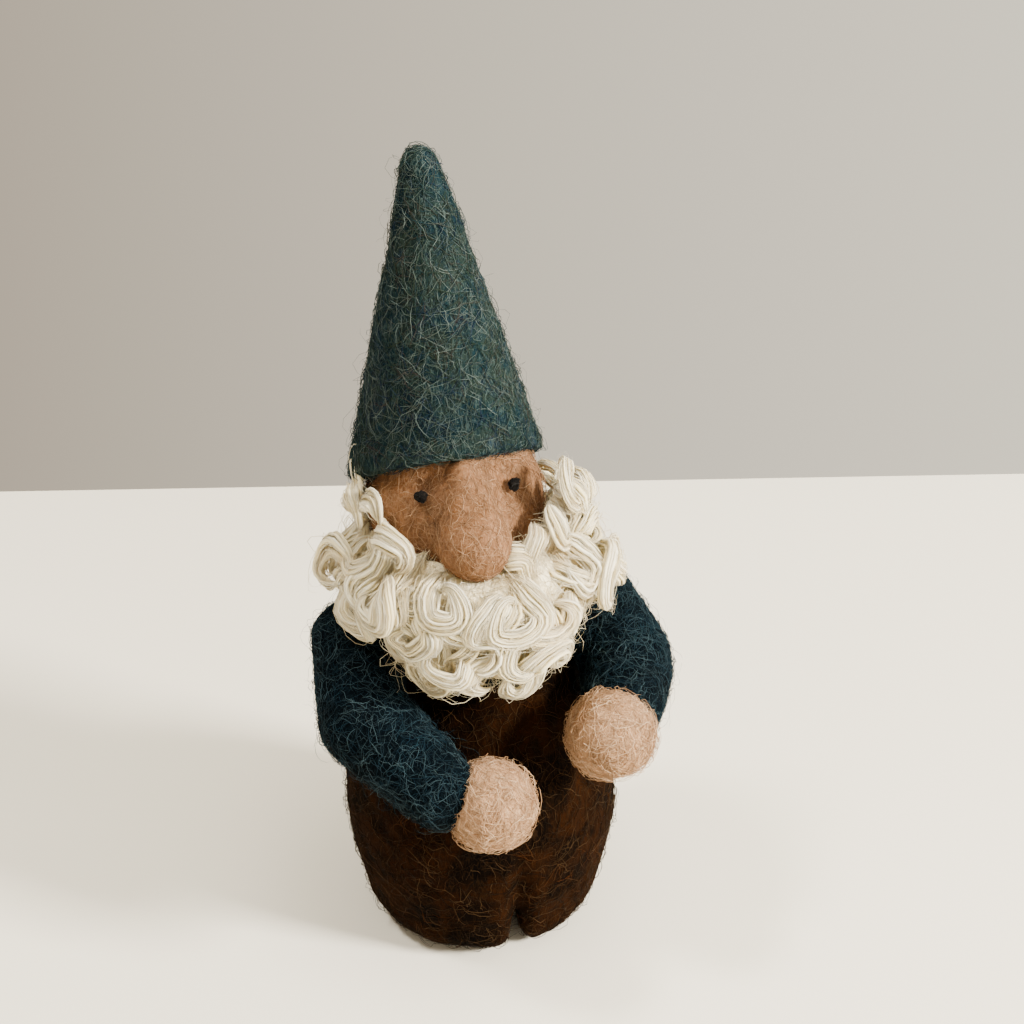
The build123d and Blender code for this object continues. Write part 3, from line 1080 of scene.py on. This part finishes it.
BEARD_CURLS = (
    Curl(61, 109.5, 6.0, 310, -250, 1.0, 5.0),
    Curl(74, 104.0, 5.4, 120, 250, 1.0, 4.4),
    Curl(50, 101.5, 5.2, 120, 300, 1.0, 3.4),
    Curl(84, 98.5, 5.6, 30, 280, 1.05, 3.6),
    Curl(66, 96.0, 5.2, 200, -330, 1.1, 5.4),
    Curl(44, 93.5, 5.0, 100, -300, 1.05, 3.4),
    Curl(30, 97.5, 4.4, 60, 250, 0.9, 1.8),
    Curl(80, 88.5, 5.4, 150, 290, 1.1, 4.6),
    Curl(60, 87.0, 5.4, 20, 300, 1.1, 4.2),
    Curl(42, 84.5, 5.2, 100, 290, 1.1, 3.2),
    Curl(64, 77.5, 4.6, 200, -330, 1.35, 5.4),
    Curl(23, 76.5, 5.4, 200, -250, 1.15, 4.2),
    Curl(38, 76.5, 4.2, 80, 280, 1.0, 3.2),
    Curl(24, 87.5, 5.2, 150, 300, 1.05, 2.6),
    Curl(5, 90.0, 5.6, 90, -430, 1.1, 2.2),
    Curl(12, 80.5, 5.4, 30, 300, 1.1, 3.0),
    Curl(-9, 82.5, 5.2, 150, -290, 1.05, 3.0),
    Curl(-5, 75.0, 5.4, 10, 280, 1.1, 3.2),
    Curl(9, 73.4, 4.8, 60, -300, 1.0, 2.6),
    Curl(-24, 81.5, 5.2, 25, -225, 1.05, 4.4),
    Curl(-30, 75.0, 4.8, 120, 290, 1.0, 2.8),
    Curl(-38, 85.5, 4.6, 60, -320, 1.1, 3.6),
    Curl(-21, 93.0, 3.8, 120, 400, 1.1, 2.8),
    Curl(-11, 97.0, 4.0, 200, -170, 0.8, 1.4),
    Curl(14, 94.5, 5.0, 150, -230, 1.0, 1.6),
    Curl(-36, 94.0, 4.6, 120, 280, 1.0, 2.0),
    Curl(-2, 88.0, 4.8, 60, 260, 1.0, 1.8),
    Curl(-53, 99.0, 4.7, 200, -330, 1.1, 3.4),
    Curl(-54, 90.5, 4.4, 100, -300, 1.2, 4.4),
    Curl(-68, 104.0, 4.8, 200, -250, 0.95, 3.4),
    Curl(-75, 96.0, 5.4, 60, -300, 1.1, 4.6),
    Curl(-48, 78.5, 5.2, 20, 280, 1.05, 3.6),
    Curl(-68, 85.0, 5.6, 150, 290, 1.15, 4.6),
    Curl(-88, 89.0, 5.6, 30, 290, 1.1, 4.0),
    Curl(-88, 101.5, 5.2, 200, -280, 1.0, 4.0),
)


CURLED = LockStyle(strands=54, bundles=30, width=2.5, depth=1.3, stray=2.4)
HANGING = LockStyle(strands=20, bundles=16, width=2.7, depth=1.2, stray=3.0)
BEARD_FUZZ = Coat(2300, 12.0, wander=8.0, kink=0.12, lift=5.6, looseness=0.4, thickness=0.06,
                  seed=31, points=9, swirls=170.0)
BEARD_FLYAWAYS = Coat(450, 15.0, wander=15.0, kink=0.05, lift=6.5, looseness=0.6, thickness=0.028,
                      seed=32, points=13, swirls=95.0)


@dataclass
class Beard:
    """Fleece felted round the jaw, and the curled locks on it."""

    fillers: int = 56
    nape_fillers: int = 18
    seed: int = 11
    step: float = 17.0
    unevenness: float = 130.0
    sway: float = 1.5 * MM
    pieces: list[bpy.types.Object] = field(default_factory=list)

    def __post_init__(self) -> None:
        """Find the middle of the beard from the frame."""
        self.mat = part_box("beard_mat")
        self.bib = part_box("beard_bib")
        self.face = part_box("face")
        low, high = self.mat
        self.middle = (low + high) / 2
        self.reach = (high.x - low.x) / 2
        self.chance = np.random.default_rng(self.seed)

    def ground_radius(self, around: float, height: float) -> float:
        """How far the fleece ground reaches from the beard's middle line.

        Args:
            around: radians round from the front.
            height: metres above the floor.

        Returns:
            The distance in metres.
        """
        mat_low, mat_high = self.mat
        bib_low, bib_high = self.bib
        face_low, face_high = self.face

        def bulge(low: float, high: float) -> float:
            centre, half = (low + high) / 2, (high - low) / 2
            return math.sqrt(max(0.0, 1 - ((height - centre) / half) ** 2))

        mat = self.reach * bulge(mat_low.z - 2 * MM, mat_high.z + 1 * MM)
        face = (face_high.x - face_low.x) / 2 * bulge(2 * face_low.z - face_high.z + 40 * MM, face_high.z)
        front = max(0.0, math.cos(around)) ** 0.6
        bib = (self.middle.y - bib_low.y) * bulge(bib_low.z - 4 * MM, bib_high.z + 8 * MM) * front
        return max(mat, face, bib, 13 * MM)

    def curl_points(self, curl: Curl) -> np.ndarray:
        """Points along one curled lock, root first.

        Args:
            curl: the lock's place and size.

        Returns:
            One row for each point, in metres.
        """
        around = math.radians(curl.around)
        height = curl.height * MM
        tilt = 0.25 if height < self.middle.z - 6 * MM else (-0.3 if height > self.middle.z + 8 * MM else 0)
        points = []
        for t in np.linspace(0, 1, max(12, round(abs(curl.turn) / self.step))):
            turn = math.radians(curl.start + curl.turn * t)
            size = curl.size * MM * (1.0 - 0.62 * t ** 1.4)
            side, rise = size * math.cos(turn), size * math.sin(turn)
            here = around + side / self.reach
            level = height + rise
            out = self.ground_radius(here, level)
            out = 0.5 * out + 0.5 * self.ground_radius(around, height)
            root = -3.2 * MM * max(0.0, 1 - t / 0.2)
            tip = -1.4 * MM * max(0.0, (t - 0.8) / 0.2)
            proud = curl.lift * MM + 1.2 * MM * math.sin(math.pi * t) + root + tip - tilt * rise * 0.6
            radius = out + proud
            place = Vector((self.middle.x + radius * math.sin(here),
                            self.middle.y - radius * math.cos(here), level))
            points.append(place + noise.noise_vector(place * self.unevenness) * self.sway)
        return np.array(points)

    def wave_points(self, around: float, height: float, length: float, steps: int = 12) -> np.ndarray:
        """Points along a wavy hanging lock with a hooked end.

        Args:
            around: degrees round from the front.
            height: height of its root, in millimetres.
            length: its length, in millimetres.
            steps: how many points.

        Returns:
            One row for each point, in metres.
        """
        sway = self.chance.uniform(1.0, 2.2)
        phase = self.chance.uniform(0, math.tau)
        hook = self.chance.choice((-1, 1))
        lean = self.chance.uniform(-0.5, 0.5)
        lift = self.chance.uniform(0.6, 2.6)
        points = []
        for t in np.linspace(0, 1, steps):
            fall = length * t * (1 - 0.25 * t ** 3)
            side = sway * math.sin(phase + 5.0 * t) + lean * fall + hook * 3.0 * t ** 3
            here = math.radians(around) + side * MM / self.reach
            level = (height - fall) * MM
            root = -2.0 * MM * max(0.0, 1 - t / 0.2)
            radius = self.ground_radius(here, level) + (lift + 1.2 * math.sin(math.pi * t)) * MM + root
            points.append((self.middle.x + radius * math.sin(here),
                           self.middle.y - radius * math.cos(here), level))
        return np.array(points)

    def random_curl(self, around: float, height: float) -> Curl:
        """A curl with a size and turn of its own."""
        pick = self.chance
        return Curl(around + pick.uniform(-5, 5), height + pick.uniform(-1.5, 1.5),
                    pick.uniform(4.8, 6.8), pick.uniform(0, 360),
                    float(pick.choice((-1, 1)) * pick.uniform(220, 310)),
                    pick.uniform(0.85, 1.15), pick.uniform(1.4, 2.8))

    def keep(self, piece: bpy.types.Object) -> bpy.types.Object:
        """Tie a piece to the figure and note it."""
        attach(piece, "figure")
        self.pieces.append(piece)
        return piece

    def build(self, felting: Felting) -> None:
        """Make the fleece ground, the curls and the loose hairs.

        Args:
            felting: makes the coats and locks and holds the finishes.
        """
        ground = felt_form("beard_fleece", ["beard_mat", "beard_bib"], 0.9 * MM, 8, 1.1 * MM, 6 * MM)
        dress(ground, felting.wardrobe.felts[Wool.ROOT])
        fuzz = felting.coat(ground, "beard_fleece_fibres", Wool.ROOT, BEARD_FUZZ)
        flyaways = felting.coat(ground, "beard_flyaways", Wool.ROOT, BEARD_FLYAWAYS)
        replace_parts(self.keep(ground), "beard_mat", "beard_bib")
        self.keep(fuzz)
        self.keep(flyaways)

        locks = sorted(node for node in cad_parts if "_lock_" in node)
        rights = [curl for curl in BEARD_CURLS if curl.around <= -20]
        fronts = [curl for curl in BEARD_CURLS if -20 < curl.around < 35]
        lefts = [curl for curl in BEARD_CURLS if curl.around >= 35]
        for name, curls in (("beard_locks_right", rights), ("beard_locks_front", fronts),
                            ("beard_locks_left", lefts)):
            guides = [(self.curl_points(curl), curl.fat) for curl in curls]
            self.keep(felting.locks(guides, name, CURLED, self.middle))
        backs = []
        for node in locks:
            low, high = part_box(node)
            centre = (low + high) / 2
            offset = centre - self.middle
            around = math.degrees(math.atan2(offset.x, -offset.y))
            if abs(around) > 92:
                backs.append(self.random_curl(around, centre.z / MM))
                backs.append(self.random_curl(around + 12, centre.z / MM - 7))
        guides = [(self.curl_points(curl), curl.fat) for curl in backs]
        hair = felting.locks(guides, "hair_locks_back", HANGING, self.middle)
        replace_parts(self.keep(hair), *locks)

        guides = []
        for number in range(self.fillers):
            share = (number + self.chance.uniform(0, 1)) / self.fillers
            around = -104 + 208 * share
            height = self.chance.uniform(86, 104) if abs(around) > 48 else self.chance.uniform(82, 95)
            length = self.chance.uniform(8, 15) * (0.8 if abs(around) > 55 else 1.0)
            guides.append((self.wave_points(around, height, length), self.chance.uniform(0.8, 1.15)))
        for number in range(self.nape_fillers):
            share = (number + self.chance.uniform(0, 1)) / self.nape_fillers
            points = self.wave_points(112 + 136 * share, self.chance.uniform(84, 98),
                                      self.chance.uniform(9, 15))
            guides.append((points, self.chance.uniform(0.9, 1.2)))
        half = (self.fillers + self.nape_fillers) // 2
        for name, run in (("beard_locks_under_right", guides[:half]),
                          ("beard_locks_under_left", guides[half:])):
            self.keep(felting.locks(run, name, HANGING, self.middle))


@dataclass(frozen=True)
class Studio:
    """Camera, floor and light."""

    azimuth: float = -12.0
    elevation: float = 30.0
    roll: float = 1.0
    distance: float = 0.336
    target_share: float = 96 / 170
    sideways: float = 7.9 * MM
    lens: float = 59.77
    floor_behind: float = 0.185

    def camera(self) -> None:
        """Make the camera at the studio's viewing angle."""
        low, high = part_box("trouser_body")
        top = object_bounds()[1].z
        angle, lift = math.radians(self.azimuth), math.radians(self.elevation)
        right = Vector((math.cos(angle), math.sin(angle), 0))
        back = Vector((math.sin(angle) * math.cos(lift), -math.cos(angle) * math.cos(lift),
                       math.sin(lift)))
        middle = (low + high) / 2
        target = Vector((middle.x, middle.y, top * self.target_share)) + right * self.sideways
        up = back.cross(right)
        turn = Matrix((right, up, back)).transposed() @ Matrix.Rotation(math.radians(-self.roll), 3, "Z")
        data = bpy.data.cameras.new("camera")
        data.lens = self.lens
        data.sensor_width = 36.0
        data.clip_start = 0.01
        camera = bpy.data.objects.new("camera", data)
        camera.matrix_world = Matrix.Translation(target + back * self.distance) @ turn.to_4x4()
        bpy.context.scene.collection.objects.link(camera)
        bpy.context.scene.camera = camera

    def floor(self) -> None:
        """Make the pale table top, which ends a little behind the figure."""
        angle = math.radians(self.azimuth)
        across = Vector((math.cos(angle), math.sin(angle), 0))
        behind = Vector((-math.sin(angle), math.cos(angle), 0))
        corners = [across * side + behind * depth
                   for side, depth in ((-1.5, -1.5), (1.5, -1.5), (1.5, self.floor_behind),
                                       (-1.5, self.floor_behind))]
        mesh = bpy.data.meshes.new("floor")
        mesh.from_pydata(corners, [], [(0, 1, 2, 3)])
        floor = plain_object("floor", mesh)
        material, graph, shader = new_material("pale_table")
        place = graph.node("ShaderNodeTexCoord").outputs["Object"]
        haze = graph.node("ShaderNodeTexNoise", {"Vector": place, "Scale": 3.0, "Detail": 1.0})
        base = ramp(graph, haze.outputs[0], ((0.90, 0.845, 0.71), (0.93, 0.88, 0.76)), 0.3, 0.7)
        graph.tree.links.new(base, shader.inputs["Base Color"])
        shader.inputs["Roughness"].default_value = 0.5
        dress(floor, material)
        floor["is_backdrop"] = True

    def lamp(self, name: str, place: Vector, size: float, power: float, colour: Colour) -> None:
        """Make one soft lamp that points at the figure.

        Args:
            name: the lamp's name.
            place: where it hangs, in metres.
            size: side of its square, in metres.
            power: in watts.
            colour: its colour.
        """
        data = bpy.data.lights.new(name, "AREA")
        data.size = size
        data.energy = power
        data.color = colour
        lamp = bpy.data.objects.new(name, data)
        aim = (Vector((0, 0, 0.08)) - place).to_track_quat("-Z", "Y")
        lamp.matrix_world = Matrix.Translation(place) @ aim.to_matrix().to_4x4()
        bpy.context.scene.collection.objects.link(lamp)

    def light(self) -> None:
        """Make the lamps and the grey room light."""
        self.lamp("window", Vector((0.73, -0.53, 0.56)), 0.18, 38.0, (1.0, 0.945, 0.85))
        self.lamp("fill", Vector((-0.42, -0.02, 1.0)), 0.14, 9.0, (1.0, 0.95, 0.86))
        self.lamp("top", Vector((0.15, -0.25, 1.05)), 0.35, 5.0, (1.0, 0.95, 0.86))
        world = bpy.data.worlds.new("room")
        world.use_nodes = True
        graph = Graph(world.node_tree)
        way = graph.node("ShaderNodeTexCoord").outputs["Generated"]
        angle = math.radians(self.azimuth)
        across = graph.node("ShaderNodeVectorMath", {0: way, 1: (math.cos(angle), math.sin(angle), 0)},
                            operation="DOT_PRODUCT").outputs["Value"]
        share = graph.math("MULTIPLY_ADD", across, 1.3, 0.5)
        walls = ramp(graph, share, ((0.53, 0.44, 0.335), (1.35, 1.24, 1.0)))
        shade = graph.node("ShaderNodeBackground", {"Color": walls, "Strength": 0.92})
        graph.node("ShaderNodeOutputWorld", {"Surface": shade.outputs[0]})
        bpy.context.scene.world = world

    def build(self) -> None:
        """Set the whole studio up."""
        self.camera()
        self.floor()
        self.light()


def shoulder_span(side: str) -> tuple[Vector, Vector]:
    """Two points across a sleeve's shoulder, a little above the bottom of the yoke.

    Args:
        side: right or left.

    Returns:
        The two points, in metres.
    """
    low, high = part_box(f"{side}_sleeve")
    pivot_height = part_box("jumper_yoke")[0].z + 5 * MM
    outer = low.x if side == "right" else high.x
    inner = high.x if side == "right" else low.x
    sign = -1 if side == "right" else 1
    start = Vector((sign * 20 * MM, high.y - 1 * MM, pivot_height))
    end = Vector((outer - sign * 8 * MM, high.y - 15 * MM, pivot_height))
    LOG.info("%s shoulder bends from %s to %s, inner side %.4f", side, start, end, inner)
    return start, end


def felt_parts() -> list[FeltPart]:
    """Every felt form of the figure, with its coats.

    Returns:
        The parts in the order they are built.
    """
    parts: list[FeltPart] = [
        Trousers("trousers", ["torso_core", "trouser_body", "right_leg_core", "left_leg_core",
                              "right_trouser_leg", "left_trouser_leg"], Wool.BROWN, "figure",
                 [Coat(2900, 6.5, seed=1, wander=4.0, kink=0.3, patches=90),
                  Coat(2300, 6.0, seed=2, lift=1.6, looseness=0.2, wander=4.0, patches=90)],
                 voxel=0.9 * MM),
        FeltPart("jumper_shoulders", ["jumper_yoke"], Wool.NAVY, "figure",
                 [Coat(700, 6.0, seed=3)]),
        Hat("hat_felt", ["hat", "hat_core"], Wool.TEAL, "figure",
            [Coat(3500, 6.5, seed=4, patches=130), Coat(2900, 6.0, seed=5, lift=1.3, looseness=0.2),
             Coat(380, 8.5, seed=12, lift=3.6, looseness=0.5, wander=8.0, thickness=0.026, kink=0.08,
                  points=9, swirls=150)],
            lump=0.3 * MM),
        Head("head_felt", ["face", "head_core", "nose"], Wool.FACE, "figure",
             [Coat(3600, 5.5, seed=6, wander=4.0, kink=0.3, lift=0.9, thickness=0.048, patches=90),
              Coat(260, 7.0, seed=13, wander=5.0, lift=1.8, looseness=0.35, thickness=0.026)],
             voxel=0.7 * MM, smoothing=12, lump=0.2 * MM),
    ]
    for side in ("right", "left"):
        start, end = shoulder_span(side)
        parts.append(Sleeve(f"{side}_sleeve_felt", [f"{side}_sleeve", f"{side}_arm_core"], Wool.NAVY,
                            f"{side}_arm",
                            [Coat(2900, 5.0, seed=7, wander=4.5, kink=0.34, lift=1.1),
                             Coat(380, 8.5, lift=3.6, looseness=0.5, wander=8.0, thickness=0.028,
                                  kink=0.08, points=9, swirls=150, seed=8)],
                            start=start, end=end, smoothing=9))
        parts.append(FeltPart(f"{side}_hand_felt", [f"{side}_hand"], Wool.HAND, f"{side}_arm",
                              [Coat(1500, 6.0, seed=9, wander=6.5, kink=0.4, lift=1.5,
                                    looseness=0.12, points=9, thickness=0.05)],
                              voxel=0.6 * MM, smoothing=10, lump=0.35 * MM))
        parts.append(Eye(f"{side}_eye_dot", [f"{side}_eye"], Wool.BLACK, "figure",
                         [Coat(46, 1.9, seed=10, wander=1.0, lift=0.25, thickness=0.05, points=6)],
                         voxel=0.25 * MM, smoothing=1, lump=0.5 * MM, lump_size=0.9 * MM))
    return parts


def main() -> None:
    """Build the whole figure and its studio."""
    logging.basicConfig(level=logging.INFO)
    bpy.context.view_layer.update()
    Studio().build()
    felting = Felting(Wardrobe())
    for part in felt_parts():
        part.build(felting)
        for piece in part.pieces:
            LOG.info("%s: %d faces", piece.name, len(piece.data.polygons))
    beard = Beard()
    beard.build(felting)
    for piece in beard.pieces:
        LOG.info("%s: %d faces", piece.name, len(piece.data.polygons))


if __name__ == "__main__":
    main()
